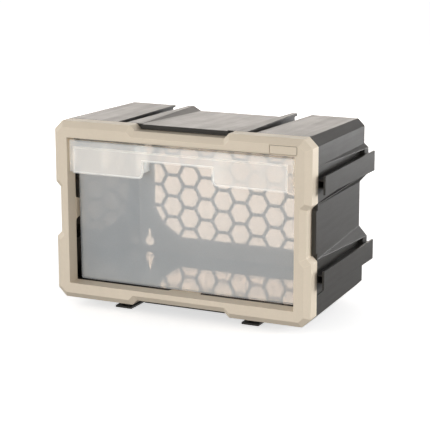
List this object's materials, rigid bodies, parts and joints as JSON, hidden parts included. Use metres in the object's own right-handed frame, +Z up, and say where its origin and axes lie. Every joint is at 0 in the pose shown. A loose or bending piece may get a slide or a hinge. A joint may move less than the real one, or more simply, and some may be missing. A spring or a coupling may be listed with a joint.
{
  "type": "stackable drawer box",
  "caption": "Stackable drawer box for craft parts: black shell with a honeycomb back, T-rails and T-slots, a beige clip-on frame and a clear pull-out drawer.",
  "frame": {"origin": "middle of the footprint, on the surface that the box stands on", "axes": "+X to the box's right seen from the front, +Y from the front frame to the back, +Z up"},
  "size_m": [0.3094, 0.167, 0.2064],
  "materials": {
    "shell": "fine moulded texture, black",
    "frame": "fine moulded texture, beige",
    "badge": "smooth, beige",
    "drawer": "polished, clear",
    "pull": "frosted, milky"
  },
  "bodies": {
    "box": {"shell": "shell", "front_frame": "frame", "badge_plate": "badge"},
    "drawer": {"drawer": "drawer", "drawer_pull": "pull"}
  },
  "joints": [
    {"name": "drawer_slide", "type": "slide", "parent": "box", "child": "drawer", "axis": [0, -1, 0], "range_m": [0, 0.122]}
  ]
}
